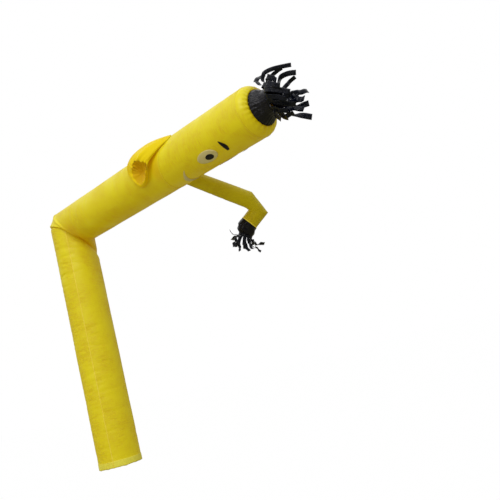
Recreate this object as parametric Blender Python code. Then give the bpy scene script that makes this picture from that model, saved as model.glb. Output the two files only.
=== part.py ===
"""Inflatable air dancer, sewn from coated nylon, shown blown up and folded over at the knee.

Metres, +Z up. The origin is the centre of the open base hem, which lies flat on z = 0. The leg rises
along +Z to the knee, the trunk and the head lie along +X, and the face looks straight down.
"""
from collections import namedtuple
from math import cos, pi, radians, sin, sqrt

import bmesh
import bpy
from mathutils import Vector

TUBE_RADIUS = 0.2286        # an 18 inch tube
CLOTH = 0.0025              # thickness of every cloth shell
GAP = 0.0003                # clearance between sewn pieces
SIDES = 36                  # facets round the big tube
SLEEVE_SIDES = 20           # facets round a sleeve
STUB_SIDES = 24             # facets round the near stub

KNEE_HEIGHT = 2.67          # middle of the trunk above the hem
NECK_ALONG = 1.95           # neck seam, from the knee along the trunk
CROWN_ALONG = 3.000         # seam where the head starts to draw in
COLLAR_ALONG = 3.085        # seam between the yellow crown and the black collar
COLLAR_RADIUS = 0.163       # size of that seam
TUFT_ALONG = 3.225          # narrow end of the collar, where the strips start
TUFT_RADIUS = 0.120
NECK_LEAN = -0.37           # the neck seam leans back under the chin

UP = Vector((0, 0, 1))
FORWARD = Vector((1, 0, 0))
SIDEWAYS = Vector((0, 1, 0))
KNEE = Vector((0, 0, KNEE_HEIGHT))
KNEE_BULGE = 0.020          # how far the cloth rounds out between the leg and the trunk

# along: from the fold's corner on its own run; lean, tilt: slope of the section towards the inside of the
# fold and towards its far side; girth: size against the plain tube; push, shift: towards inside, far side
Row = namedtuple("Row", "run along lean tilt girth push shift", defaults=(0.0, 0.0, 1.0, 0.0, 0.0))

LEG_ROWS = [
    Row(0, -KNEE_HEIGHT, girth=1.008),
    Row(0, -KNEE_HEIGHT + 0.066, girth=1.008),
    Row(0, -KNEE_HEIGHT + 0.076, girth=0.994),
    Row(0, -2.35, girth=1.003),
    Row(0, -1.90, girth=0.996),
    Row(0, -1.45, girth=1.004),
    Row(0, -1.00, girth=0.998),
    Row(0, -0.62, 0.05, 0.15, 1.004),
    Row(0, -0.36, 0.12, 0.45, 1.0),
    Row(0, -0.192, 0.33, 0.93, 1.006),
    Row(0, -0.165, 0.33, 0.90, 0.955, -0.017, 0.011),
]
TRUNK_ROWS = [
    Row(1, 0.055, 0.985, -0.285),
    Row(1, 0.26, 0.80, -0.10),
    Row(1, 0.50, 0.40, girth=1.004),
    Row(1, 0.80, 0.10, girth=0.997),
    Row(1, 1.15, 0.0, girth=1.003),
    Row(1, 1.45, -0.05, girth=1.0),
    Row(1, 1.66, -0.20, girth=1.008),
    Row(1, NECK_ALONG - GAP, NECK_LEAN),
]
HEAD_ROWS = [
    Row(1, NECK_ALONG, NECK_LEAN),
    Row(1, 2.26, -0.12, girth=1.002),
    Row(1, 2.62, 0.0, girth=1.0),
    Row(1, CROWN_ALONG - 0.12),
    Row(1, CROWN_ALONG - GAP, girth=0.993),
]
CROWN_ROWS = [
    Row(1, CROWN_ALONG, girth=0.993),
    Row(1, CROWN_ALONG + 0.022, girth=0.982),
    Row(1, CROWN_ALONG + 0.050, girth=0.93),
    Row(1, CROWN_ALONG + 0.073, girth=0.83),
    Row(1, COLLAR_ALONG - GAP, girth=COLLAR_RADIUS / TUBE_RADIUS),
]
COLLAR_ROWS = [
    Row(1, COLLAR_ALONG, girth=COLLAR_RADIUS / TUBE_RADIUS),
    Row(1, COLLAR_ALONG + 0.03, girth=0.66),
    Row(1, COLLAR_ALONG + 0.06, girth=0.58),
    Row(1, COLLAR_ALONG + 0.09, girth=0.53),
    Row(1, TUFT_ALONG - GAP, girth=TUFT_RADIUS / TUBE_RADIUS),
]

# far sleeve: leaves the trunk's +Y side, droops forward, and folds back at the elbow
SLEEVE_RADIUS = 0.084
SHOULDER = KNEE + Vector((1.78, 0, 0))
SLEEVE_WAY = Vector((0.387, 0.773, -0.503)).normalized()
FOREARM_WAY = Vector((-0.66, -0.44, -0.61)).normalized()
HAND_WAY = Vector((-0.50, -0.24, -0.83)).normalized()
UPPER_ARM = 1.015           # trunk's middle to the elbow
FOREARM = 0.216             # elbow to the seam of the black cuff
CUFF_LENGTH = 0.125
HAND_RADIUS = 0.070
ELBOW = SHOULDER + SLEEVE_WAY * UPPER_ARM
WRIST = ELBOW + FOREARM_WAY * FOREARM
SLEEVE_ROWS = [
    Row(0, -0.55, girth=0.94),
    Row(0, -0.30, girth=0.99),
    Row(0, -0.15, girth=1.01),
    Row(1, 0.075, 0.60, girth=1.05),
    Row(1, FOREARM - GAP, girth=1.02),
]
CUFF_ROWS = [
    Row(0, 0.0, girth=1.02),
    Row(1, 0.04, girth=1.12, push=-0.012),
    Row(1, 0.085, girth=1.08, push=-0.010),
    Row(1, CUFF_LENGTH - GAP, girth=HAND_RADIUS / SLEEVE_RADIUS),
]

# near sleeve: a puffed stub whose end is drawn in to a pocket, listed from the pocket's front side round over
# the top. ahead, up: its seam, in metres along the trunk and degrees round it; rise: how steeply the cloth
# starts there; lip_ahead, lip_up, lip_out: the edge where it turns in; puff: how fully it rounds over there
Stub = namedtuple("Stub", "ahead up rise lip_ahead lip_up lip_out puff")
STUB_ROWS = [
    Stub(1.795, -2.0, 0.030, 1.803, -0.057, 0.285, 0.030),
    Stub(1.830, 12.0, 0.005, 1.837, -0.022, 0.300, 0.022),
    Stub(1.960, 26.0, 0.000, 1.850, 0.004, 0.318, 0.025),
    Stub(2.080, 42.0, 0.005, 1.821, 0.033, 0.330, 0.050),
    Stub(2.060, 62.0, 0.030, 1.754, 0.065, 0.330, 0.092),
    Stub(1.820, 76.0, 0.110, 1.677, 0.077, 0.310, 0.100),
    Stub(1.600, 68.0, 0.130, 1.618, 0.065, 0.285, 0.070),
    Stub(1.490, 42.0, 0.080, 1.575, 0.038, 0.262, 0.030),
    Stub(1.490, 12.0, 0.030, 1.573, -0.017, 0.252, 0.015),
    Stub(1.545, -12.0, 0.020, 1.619, -0.096, 0.255, 0.015),
    Stub(1.610, -36.0, 0.020, 1.672, -0.131, 0.262, 0.025),
    Stub(1.720, -29.0, 0.025, 1.752, -0.115, 0.275, 0.030),
]
STUB_STEPS = 6
POCKET = dict(ahead=1.700, up=-0.030, out=0.243)
AIR_WAY_RADIUS = 0.05       # hole through the trunk's wall into each sleeve
NEAR_AIR_WAY = dict(ahead=1.76, up=40.0)

# face pieces, placed by distance along the trunk and by angle from the near side towards straight down
FACE_MIDDLE = 90.0
EYE = dict(ahead=2.472, down=54.5, long=0.118, wide=16.0)
PUPIL = dict(ahead=2.490, down=57.0, long=0.047, wide=7.5)
PATCH = 0.0015

# strips in the order of their roots round the ring, first at the top. splay: how steeply a strip leaves the
# ring, in degrees; launch: how long it holds that way; then its tip, measured from the ring's middle, its
# width, and how far it twists on the way
Strip = namedtuple("Strip", "splay launch ahead side up width turn", defaults=(0,))
HAIR_STRIPS = [
    Strip(133, 0.33, 0.090, 0.208, 0.296, 0.036),
    Strip(135, 0.22, -0.010, 0.211, 0.321, 0.034),
    Strip(110, 0.30, 0.085, 0.254, 0.236, 0.044),
    Strip(112, 0.22, 0.023, 0.319, 0.240, 0.036),
    Strip(72, 0.12, 0.079, 0.359, 0.085, 0.048),
    Strip(14, 0.08, 0.090, 0.190, 0.010, 0.042),
    Strip(10, 0.11, 0.183, 0.120, -0.069, 0.050, -15),
    Strip(36, 0.08, 0.183, 0.163, -0.106, 0.050, -30),
    Strip(13, 0.10, 0.184, 0.070, -0.171, 0.048, -45),
    Strip(34, 0.10, 0.236, 0.068, -0.266, 0.048, -60),
    Strip(60, 0.07, 0.148, -0.027, -0.201, 0.042, 60),
    Strip(64, 0.09, 0.136, -0.104, -0.244, 0.042, 60),
    Strip(79, 0.09, 0.107, -0.159, -0.250, 0.040, 60),
    Strip(76, 0.09, 0.173, -0.134, -0.210, 0.042, 15),
    Strip(78, 0.11, 0.223, -0.077, -0.168, 0.044),
    Strip(81, 0.10, 0.195, -0.148, -0.122, 0.042),
    Strip(78, 0.11, 0.224, -0.113, -0.072, 0.046),
    Strip(85, 0.11, 0.184, -0.162, -0.008, 0.042),
    Strip(64, 0.12, 0.150, -0.140, 0.060, 0.046, -30),
    Strip(150, 0.24, -0.120, 0.092, 0.290, 0.040),
]
HAND_STRIPS = [
    Strip(44, 0.07, 0.005, -0.099, 0.208, 0.034, 70),
    Strip(40, 0.08, 0.093, 0.134, 0.193, 0.024, 60),
    Strip(34, 0.08, 0.093, 0.166, 0.111, 0.034),
    Strip(20, 0.08, 0.122, 0.152, 0.085, 0.036),
    Strip(30, 0.08, 0.150, 0.172, -0.003, 0.030),
    Strip(40, 0.07, 0.125, 0.150, -0.067, 0.038),
    Strip(60, 0.06, -0.012, 0.144, -0.159, 0.022, 50),
    Strip(54, 0.06, 0.072, -0.166, -0.117, 0.034, -40),
    Strip(40, 0.07, 0.128, -0.171, -0.057, 0.034),
    Strip(34, 0.07, 0.119, -0.200, 0.037, 0.034),
    Strip(36, 0.07, 0.078, -0.177, 0.131, 0.034),
    Strip(44, 0.07, 0.030, -0.137, 0.180, 0.034, 40),
]
BAND = 0.022                # length of the ring that holds a tuft of strips
STRIP_CLOTH = 0.002
STRIP_STEPS = 8


def clear_scene():
    for old in list(bpy.data.objects):
        bpy.data.objects.remove(old, do_unlink=True)


def finish(name, colour, roughness):
    """A cloth finish: colour as linear red, green and blue."""
    material = bpy.data.materials.new(name)
    material.use_nodes = True
    shader = material.node_tree.nodes["Principled BSDF"]
    shader.inputs["Base Color"].default_value = (*colour, 1.0)
    shader.inputs["Roughness"].default_value = roughness
    shader.inputs["Metallic"].default_value = 0.0
    material.diffuse_color = (*colour, 1.0)
    return material


def mesh_object(name, bm, material):
    """Turn the shape into a named object at the origin."""
    mesh = bpy.data.meshes.new(name)
    bm.to_mesh(mesh)
    bm.free()
    mesh.materials.append(material)
    obj = bpy.data.objects.new(name, mesh)
    bpy.context.scene.collection.objects.link(obj)
    return obj


def skin(bm, rings, closed_round=True):
    """Faces between neighbouring rings; returns the rings of vertices."""
    grid = [[bm.verts.new(point) for point in ring] for ring in rings]
    for lower, upper in zip(grid, grid[1:]):
        count = len(lower)
        for j in range(count if closed_round else count - 1):
            k = (j + 1) % count
            bm.faces.new((lower[j], lower[k], upper[k], upper[j]))
    return grid


def sew(name, rings, material, tip=None, thickness=CLOTH, closed_round=True):
    """A thin cloth shell lofted through rings; tip closes the last ring to one point."""
    bm = bmesh.new()
    grid = skin(bm, rings, closed_round)
    if tip is not None:
        end = bm.verts.new(tip)
        last = grid[-1]
        for j, vertex in enumerate(last):
            bm.faces.new((vertex, last[(j + 1) % len(last)], end))
    obj = mesh_object(name, bm, material)
    wall = obj.modifiers.new("cloth", "SOLIDIFY")
    wall.thickness = thickness
    wall.offset = -1.0
    obj.data.shade_smooth()
    obj.data.set_sharp_from_angle(angle=radians(35))
    return obj


class Fold:
    """Two straight runs of one tube that meet at a folded corner."""

    def __init__(self, corner, first, second, radius, sides):
        self.corner = corner
        self.ways = (first, second)
        self.inner = (
            (second - second.dot(first) * first).normalized(),
            (second.dot(first) * second - first).normalized(),
        )
        self.side = first.cross(self.inner[0])
        self.radius = radius
        self.sides = sides

    def point(self, row, angle):
        u = self.radius * cos(angle)
        v = self.radius * sin(angle)
        slope = row.lean * u + row.tilt * v
        along = row.along - slope if row.run == 0 else row.along + slope
        across = self.inner[row.run] * (u * row.girth + row.push) + self.side * (v * row.girth + row.shift)
        return self.corner + self.ways[row.run] * along + across

    def ring(self, row):
        return [self.point(row, 2 * pi * j / self.sides) for j in range(self.sides)]

    def rings(self, rows):
        return [self.ring(row) for row in rows]


def on_trunk(ahead, down, radius):
    """A point round the trunk: down is in degrees from the near side towards straight down."""
    a = radians(down)
    return KNEE + FORWARD * ahead + radius * Vector((0, -cos(a), -sin(a)))


def sleeve_root(fold, girth):
    """Run each line of the sleeve back until it meets the trunk's skin."""
    way = fold.ways[0]
    clear = TUBE_RADIUS * 1.008 + 2 * GAP
    ring = []
    for point in fold.ring(Row(0, 0.0, girth=girth)):
        away = point - KNEE
        a = way.y ** 2 + way.z ** 2
        b = 2 * (away.y * way.y + away.z * way.z)
        c = away.y ** 2 + away.z ** 2 - clear ** 2
        back = (-b + sqrt(b * b - 4 * a * c)) / (2 * a)
        ring.append(point + way * back)
    return ring


def knee_ring(body):
    """Halfway from the leg's end to the trunk's start, rounded out but for the inside of the fold."""
    ring = []
    for j, (below, above) in enumerate(zip(body.ring(LEG_ROWS[-1]), body.ring(TRUNK_ROWS[0]))):
        angle = 2 * pi * j / body.sides
        away = body.inner[0] * cos(angle) + body.side * sin(angle)
        ring.append((below + above) / 2 + away * KNEE_BULGE * min(1.0, 2 - 2 * cos(angle)))
    return ring


def build_tube(yellow, body):
    """The big tube: leg and trunk in one length, the head, and the crown that draws it in."""
    rings = body.rings(LEG_ROWS) + [knee_ring(body)] + body.rings(TRUNK_ROWS)
    trunk = sew("body_tube", rings, yellow)
    sew("head_tube", body.rings(HEAD_ROWS), yellow)
    sew("crown", body.rings(CROWN_ROWS), yellow)
    return trunk


def build_far_arm(yellow, black):
    arm = Fold(ELBOW, SLEEVE_WAY, FOREARM_WAY, SLEEVE_RADIUS, SLEEVE_SIDES)
    sew("far_sleeve", [sleeve_root(arm, 0.88)] + arm.rings(SLEEVE_ROWS), yellow)
    wrist = Fold(WRIST, FOREARM_WAY, HAND_WAY, SLEEVE_RADIUS, SLEEVE_SIDES)
    sew("hand_cuff", wrist.rings(CUFF_ROWS), black)
    return wrist


def stub_row(turn):
    """A smooth closed loop through STUB_ROWS; turn runs from 0 to 1 round it."""
    count = len(STUB_ROWS)
    place = (turn % 1.0) * count
    first = int(place)
    t = place - first
    a, b, c, d = (STUB_ROWS[(first + k) % count] for k in (-1, 0, 1, 2))
    return Stub(*(
        0.5 * (2 * q + (r - p) * t + (2 * p - 5 * q + 4 * r - s) * t ** 2 + (3 * q - p - 3 * r + s) * t ** 3)
        for p, q, r, s in zip(a, b, c, d)))


def build_near_stub(yellow):
    clear = TUBE_RADIUS * 1.008 + CLOTH
    pocket = KNEE + Vector((POCKET["ahead"], -POCKET["out"], POCKET["up"]))
    rings = [[] for _ in range(STUB_STEPS + 3)]
    for j in range(STUB_SIDES):
        row = stub_row(j / STUB_SIDES)
        root = on_trunk(row.ahead, -row.up, clear)
        risen = on_trunk(row.ahead, -row.up, clear + row.rise)
        lip = KNEE + Vector((row.lip_ahead, -row.lip_out, row.lip_up))
        away = lip - pocket
        away.y = 0
        rounded = lip + away.normalized() * row.puff
        for i in range(STUB_STEPS + 1):
            t = i / STUB_STEPS
            rings[i].append(root * (1 - t) ** 3 + risen * 3 * t * (1 - t) ** 2
                            + rounded * 3 * t * t * (1 - t) + lip * t ** 3)
        for i, (size, depth) in enumerate(((0.75, 0.5), (0.40, 0.85))):
            point = pocket + (lip - pocket) * size
            point.y = lip.y + (pocket.y - lip.y) * depth
            rings[STUB_STEPS + 1 + i].append(point)
    sew("near_sleeve", rings, yellow, tip=pocket)


def cut_air_ways(trunk):
    """Holes through the trunk's wall that let the air into the sleeves."""
    near_start = on_trunk(NEAR_AIR_WAY["ahead"], -NEAR_AIR_WAY["up"], TUBE_RADIUS)
    near_way = on_trunk(0, -NEAR_AIR_WAY["up"], 1.0) - KNEE
    far_start = SHOULDER + SLEEVE_WAY * TUBE_RADIUS
    for name, middle, way in (("near_air_way", near_start, near_way), ("far_air_way", far_start, SLEEVE_WAY)):
        bm = bmesh.new()
        bmesh.ops.create_cone(
            bm, cap_ends=True, segments=12, radius1=AIR_WAY_RADIUS, radius2=AIR_WAY_RADIUS, depth=0.3)
        bm.transform(way.to_track_quat("Z", "Y").to_matrix().to_4x4())
        for vertex in bm.verts:
            vertex.co += middle
        cutter = mesh_object(name, bm, trunk.data.materials[0])
        cutter.hide_render = True
        cutter.display_type = "WIRE"
        cut = trunk.modifiers.new(name, "BOOLEAN")
        cut.operation = "DIFFERENCE"
        cut.object = cutter


def oval_patch(name, material, ahead, down, long, wide, radius, steps=3, sides=20):
    """An oval of cloth lying on the head: wide is its half width in degrees round the tube."""
    rings = []
    for i in range(steps, 0, -1):
        size = i / steps
        ring = []
        for j in range(sides):
            a = 2 * pi * j / sides
            ring.append(on_trunk(ahead + size * long * cos(a), down + size * wide * sin(a), radius))
        rings.append(ring)
    return sew(name, rings, material, tip=on_trunk(ahead, down, radius), thickness=PATCH)


def band_patch(name, material, columns, radius):
    """A band of cloth on the head: each column gives ahead and down of its two edges."""
    rings = []
    for first, second in columns:
        ring = []
        for k in range(4):
            t = k / 3
            ring.append(on_trunk(
                first[0] + t * (second[0] - first[0]), first[1] + t * (second[1] - first[1]), radius))
        rings.append(ring)
    return sew(name, rings, material, thickness=PATCH, closed_round=False)


def mouth_columns():
    """A smile: a crescent, deepest in the middle of the face."""
    columns = []
    half_width = 37.0
    steps = 12
    for i in range(steps + 1):
        t = 2 * i / steps - 1
        down = FACE_MIDDLE + half_width * t
        bend = 1 - t * t
        lower = 2.150 - 0.118 * bend
        depth = 0.006 + 0.046 * bend
        columns.append(((lower, down), (lower + depth, down)))
    return columns


def brow_columns(sense):
    """A wedge: blunt near the middle of the face, thin at its outer end."""
    columns = []
    inner = 67.0
    outer = 37.0
    steps = 7
    for i in range(steps + 1):
        t = i / steps
        away = inner + t * (outer - inner)
        down = away if sense > 0 else 2 * FACE_MIDDLE - away
        lower = 2.680 - 0.006 * t
        depth = 0.008 + 0.038 * sin(pi * (0.12 + 0.88 * t))
        columns.append(((lower, down), (lower + depth, down)))
    return columns


def build_face(tan_cloth, black):
    skin_radius = TUBE_RADIUS * 1.002 + 2 * GAP
    top_radius = skin_radius + PATCH + GAP
    for side, sense in (("near", 1), ("far", -1)):
        eye_down = EYE["down"] if sense > 0 else 2 * FACE_MIDDLE - EYE["down"]
        pupil_down = PUPIL["down"] if sense > 0 else 2 * FACE_MIDDLE - PUPIL["down"]
        oval_patch(f"eye_{side}", tan_cloth, EYE["ahead"], eye_down, EYE["long"], EYE["wide"], skin_radius)
        oval_patch(f"pupil_{side}", black, PUPIL["ahead"], pupil_down, PUPIL["long"], PUPIL["wide"],
                   top_radius, steps=2, sides=14)
        columns = brow_columns(sense)
        if sense > 0:
            columns.reverse()
        band_patch(f"brow_{side}", black, columns, skin_radius)
    band_patch("mouth", tan_cloth, mouth_columns(), skin_radius)


def strip_sections(root, way, outward, wide, middle, up, side, strip):
    """Sections of one cloth strip from just past its root to its tip."""
    splay = radians(strip.splay)
    launch = root + (way * cos(splay) + outward * sin(splay)) * strip.launch
    tip = middle + way * strip.ahead + side * strip.side + up * strip.up
    sections = []
    for i in range(1, STRIP_STEPS + 1):
        t = i / STRIP_STEPS
        point = root * (1 - t) ** 2 + launch * 2 * t * (1 - t) + tip * t * t
        heading = ((launch - root) * (1 - t) + (tip - launch) * t).normalized()
        wide = (wide - wide.dot(heading) * heading).normalized()
        thin = wide.cross(heading)
        turn = radians(strip.turn) * t
        w = (wide * cos(turn) + thin * sin(turn)) * strip.width / 2
        n = (thin * cos(turn) - wide * sin(turn)) * STRIP_CLOTH / 2
        sections.append([point + w + n, point - w + n, point - w - n, point + w - n])
    return sections


def build_tuft(name, material, middle, way, up, side, radius, strips):
    """The slit end of a cloth tube: a short ring whose outer edge is cut all round into strips."""
    count = len(strips)
    bm = bmesh.new()
    levels = []
    for along, size in ((-BAND, radius), (-BAND, radius - CLOTH), (0.0, radius), (0.0, radius - CLOTH)):
        level = []
        for j in range(count):
            a = pi / 2 - 2 * pi * (j - 0.5) / count
            level.append(bm.verts.new(middle + way * along + size * (up * sin(a) + side * cos(a))))
        levels.append(level)
    bottom_out, bottom_in, top_out, top_in = levels
    for j, strip in enumerate(strips):
        k = (j + 1) % count
        bm.faces.new((bottom_out[j], bottom_out[k], top_out[k], top_out[j]))
        bm.faces.new((bottom_in[k], bottom_in[j], top_in[j], top_in[k]))
        bm.faces.new((bottom_out[k], bottom_out[j], bottom_in[j], bottom_in[k]))
        a = pi / 2 - 2 * pi * j / count
        outward = up * sin(a) + side * cos(a)
        wide = (top_out[j].co - top_out[k].co).normalized()
        root = (top_out[j].co + top_out[k].co + top_in[j].co + top_in[k].co) / 4
        loop = [top_out[j], top_out[k], top_in[k], top_in[j]]
        for section in strip_sections(root, way, outward, wide, middle, up, side, strip):
            following = [bm.verts.new(point) for point in section]
            for i in range(4):
                n = (i + 1) % 4
                bm.faces.new((loop[i], loop[n], following[n], following[i]))
            loop = following
        bm.faces.new(loop)
    bmesh.ops.recalc_face_normals(bm, faces=bm.faces)
    if bm.calc_volume(signed=True) < 0:
        bmesh.ops.reverse_faces(bm, faces=bm.faces)
    return mesh_object(name, bm, material)


def build_hair(black, body):
    sew("hair_collar", body.rings(COLLAR_ROWS), black)
    middle = KNEE + FORWARD * (TUFT_ALONG + BAND)
    build_tuft("hair_strips", black, middle, FORWARD, UP, SIDEWAYS, TUFT_RADIUS, HAIR_STRIPS)


def build_hand(black, wrist):
    middle = WRIST + HAND_WAY * (CUFF_LENGTH + BAND)
    build_tuft("hand_strips", black, middle, HAND_WAY, wrist.inner[1], wrist.side, HAND_RADIUS, HAND_STRIPS)


def build():
    clear_scene()
    yellow = finish("yellow_nylon", (0.72, 0.58, 0.03), 0.45)
    black = finish("black_nylon", (0.008, 0.008, 0.012), 0.35)
    tan_cloth = finish("tan_patch_cloth", (0.42, 0.34, 0.14), 0.6)
    body = Fold(KNEE, UP, FORWARD, TUBE_RADIUS, SIDES)
    trunk = build_tube(yellow, body)
    wrist = build_far_arm(yellow, black)
    build_near_stub(yellow)
    cut_air_ways(trunk)
    build_face(tan_cloth, black)
    build_hair(black, body)
    build_hand(black, wrist)


build()
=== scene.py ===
"""The inflatable air dancer as it is seen: coated nylon, sewn, blown up and folded over at the knee.

Metres, +Z up, in the part's own frame: leg along +Z, trunk and head along +X, the face looks straight down.
"""
from collections import namedtuple
from math import pi, radians

import bpy
import numpy as np
from mathutils import Matrix, Vector


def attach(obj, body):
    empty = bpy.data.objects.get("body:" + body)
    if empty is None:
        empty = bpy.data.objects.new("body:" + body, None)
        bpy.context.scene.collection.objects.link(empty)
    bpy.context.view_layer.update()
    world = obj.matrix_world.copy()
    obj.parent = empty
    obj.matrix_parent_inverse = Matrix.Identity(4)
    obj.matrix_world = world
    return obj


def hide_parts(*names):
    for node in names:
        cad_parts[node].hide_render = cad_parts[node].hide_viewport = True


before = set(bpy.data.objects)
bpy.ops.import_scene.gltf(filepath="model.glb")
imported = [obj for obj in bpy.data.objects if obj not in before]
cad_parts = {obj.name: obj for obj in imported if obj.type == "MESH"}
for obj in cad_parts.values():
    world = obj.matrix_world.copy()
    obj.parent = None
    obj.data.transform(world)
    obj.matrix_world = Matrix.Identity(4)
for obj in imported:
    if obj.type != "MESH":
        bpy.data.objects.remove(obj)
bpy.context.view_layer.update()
scene = bpy.context.scene

# Camera: it stands low in front of the leg, looks a little upwards and is tipped to one side, so that the
# leg leans over in the picture. Its place comes from the edges of the two straight tubes.
CAMERA_PLACE = (6.12954, -3.99352, 0.63746)
IMAGE_RIGHT = Vector((0.692254, 0.678227, -0.246562))
IMAGE_UP = Vector((0.301066, 0.039088, 0.952802))


def new_object(name, data):
    """An object with this data, linked to the scene."""
    obj = bpy.data.objects.new(name, data)
    scene.collection.objects.link(obj)
    return obj


camera_data = bpy.data.cameras.new("camera")
camera_data.sensor_width = 36.0
camera_data.lens = 46.08
camera = new_object("camera", camera_data)
camera_turn = Matrix((IMAGE_RIGHT, IMAGE_UP, IMAGE_RIGHT.cross(IMAGE_UP))).transposed().to_4x4()
camera.matrix_world = Matrix.Translation(CAMERA_PLACE) @ camera_turn
scene.camera = camera
scene.view_settings.view_transform = "Standard"

# Studio: a white floor that runs into a white background, a large soft light high on the left of the
# picture, and a weaker one that opens the shadows.
WHITE = (1.0, 1.0, 1.0, 1.0)


def add_node(tree, kind, **settings):
    """A node; a setting that names an input links or sets it, and any other sets the node's own property."""
    node = tree.nodes.new(kind)
    for key, value in settings.items():
        label = key.replace("_", " ").title()
        if isinstance(value, bpy.types.NodeSocket):
            tree.links.new(value, node.inputs[label])
        elif hasattr(node, key) and key not in ("color", "width", "height"):
            setattr(node, key, value)
        else:
            node.inputs[label].default_value = value
    return node


def mapped(tree, value, low, high, to_low=0.0, to_high=1.0, kind="LINEAR"):
    """The value, carried over from one range to another."""
    return add_node(tree, "ShaderNodeMapRange", interpolation_type=kind, value=value, from_min=low,
                    from_max=high, to_min=to_low, to_max=to_high).outputs[0]


def white_for_the_camera(tree, shader, output, whiteness):
    """Show plain white to the camera and keep the surface's own light for the rest."""
    kind = "ShaderNodeEmission" if output.type == "OUTPUT_MATERIAL" else "ShaderNodeBackground"
    glow = add_node(tree, kind, color=WHITE, strength=1.0)
    path = add_node(tree, "ShaderNodeLightPath")
    share = add_node(tree, "ShaderNodeMath", operation="MULTIPLY")
    share.inputs[1].default_value = whiteness
    tree.links.new(path.outputs["Is Camera Ray"], share.inputs[0])
    mix = add_node(tree, "ShaderNodeMixShader")
    for socket, source in zip(mix.inputs, (share.outputs[0], shader, glow.outputs[0])):
        tree.links.new(source, socket)
    tree.links.new(mix.outputs[0], output.inputs["Surface"])


# Two heights on the sky and its strength at each, first as it lights the cloth, then as gloss reflects it
SKY_LIGHT = (-0.6, 0.9, 0.30, 0.74)
SKY_SHEEN = (-0.1, 0.9, 0.0, 1.2)
world = bpy.data.worlds.new("studio")
scene.world = world
world.use_nodes = True
sky_tree = world.node_tree
sky = sky_tree.nodes["Background"]
sky.inputs["Color"].default_value = WHITE
sky_place = add_node(sky_tree, "ShaderNodeTexCoord")
sky_height = add_node(sky_tree, "ShaderNodeSeparateXYZ", vector=sky_place.outputs["Generated"])
sky_path = add_node(sky_tree, "ShaderNodeLightPath")
sky_choice = add_node(sky_tree, "ShaderNodeMix", factor=sky_path.outputs["Is Glossy Ray"])
for socket, strengths in ((sky_choice.inputs[2], SKY_LIGHT), (sky_choice.inputs[3], SKY_SHEEN)):
    sky_tree.links.new(mapped(sky_tree, sky_height.outputs["Z"], *strengths), socket)
sky_tree.links.new(sky_choice.outputs[0], sky.inputs["Strength"])
white_for_the_camera(sky_tree, sky.outputs[0], sky_tree.nodes["World Output"], 1.0)

FLOOR_HALF = 60.0
FLOOR_LEVEL = -0.002
PAPER_WHITENESS = 0.997
floor_mesh = bpy.data.meshes.new("floor")
floor_mesh.from_pydata(
    [(x * FLOOR_HALF, y * FLOOR_HALF, FLOOR_LEVEL) for x, y in ((-1, -1), (1, -1), (1, 1), (-1, 1))],
    [], [(0, 1, 2, 3)])
floor = new_object("floor", floor_mesh)
paper = bpy.data.materials.new("studio_paper")
paper.use_nodes = True
paper_shader = paper.node_tree.nodes["Principled BSDF"]
paper_shader.inputs["Base Color"].default_value = (0.42, 0.40, 0.22, 1.0)
paper_shader.inputs["Roughness"].default_value = 0.9
white_for_the_camera(
    paper.node_tree, paper_shader.outputs[0], paper.node_tree.nodes["Material Output"], PAPER_WHITENESS)
floor_mesh.materials.append(paper)

LIGHT_AIM = Vector((0.9, 0.0, 1.9))
Lamp = namedtuple("Lamp", "name place size power colour")
for lamp in (
    Lamp("key_light", (6.04, -8.9, 10.0), 5.5, 665.0, (1.0, 0.99, 0.96)),
    Lamp("front_light", (2.5, -9.5, 3.0), 4.0, 62.0, (1.0, 1.0, 0.97)),
):
    light_data = bpy.data.lights.new(lamp.name, "AREA")
    light_data.size = lamp.size
    light_data.energy = lamp.power
    light_data.color = lamp.colour
    light = new_object(lamp.name, light_data)
    aim = LIGHT_AIM - Vector(lamp.place)
    light.matrix_world = Matrix.Translation(lamp.place) @ aim.to_track_quat("-Z", "Y").to_matrix().to_4x4()

# Leg and trunk: one length of yellow coated nylon, joined into a tube by a seam down its length, turned up
# into a hem at the base, and folded over at the knee where the air has let go.

TUBE_RADIUS = 0.2286
CLOTH = 0.0016
GAP = 0.0003
KNEE_HEIGHT = 2.67
NECK_ALONG = 1.95
NECK_LEAN = -0.37
KNEE = np.array((0.0, 0.0, KNEE_HEIGHT))
UP = np.array((0.0, 0.0, 1.0))
FORWARD = np.array((1.0, 0.0, 0.0))
SIDEWAYS = np.array((0.0, 1.0, 0.0))

# run: before or past the fold; along: from its corner on that run; lean, tilt: slope of the section towards
# the fold's inside and its far side; girth: against the plain tube; push, shift: the same two ways
Row = namedtuple("Row", "run along lean tilt girth push shift", defaults=(0.0, 0.0, 1.0, 0.0, 0.0))
LEG_ROWS = [
    Row(0, -KNEE_HEIGHT, girth=1.008),
    Row(0, -KNEE_HEIGHT + 0.066, girth=1.008),
    Row(0, -KNEE_HEIGHT + 0.076, girth=0.994),
    Row(0, -2.35, girth=1.003),
    Row(0, -1.90, girth=0.996),
    Row(0, -1.45, girth=1.004),
    Row(0, -1.00, girth=0.998),
    Row(0, -0.62, 0.05, 0.15, 1.004),
    Row(0, -0.36, 0.12, 0.45, 1.0),
    Row(0, -0.192, 0.33, 0.93, 1.006),
    Row(0, -0.165, 0.33, 0.90, 0.955, -0.017, 0.011),
]
TRUNK_ROWS = [
    Row(1, 0.055, 0.985, -0.285),
    Row(1, 0.26, 0.80, -0.10),
    Row(1, 0.50, 0.40, girth=1.004),
    Row(1, 0.80, 0.10, girth=0.997),
    Row(1, 1.15, 0.0, girth=1.003),
    Row(1, 1.45, -0.05, girth=1.0),
    Row(1, 1.66, -0.20, girth=1.008),
    Row(1, NECK_ALONG - GAP, NECK_LEAN),
]


def unit(vector):
    return vector / np.linalg.norm(vector)


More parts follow.
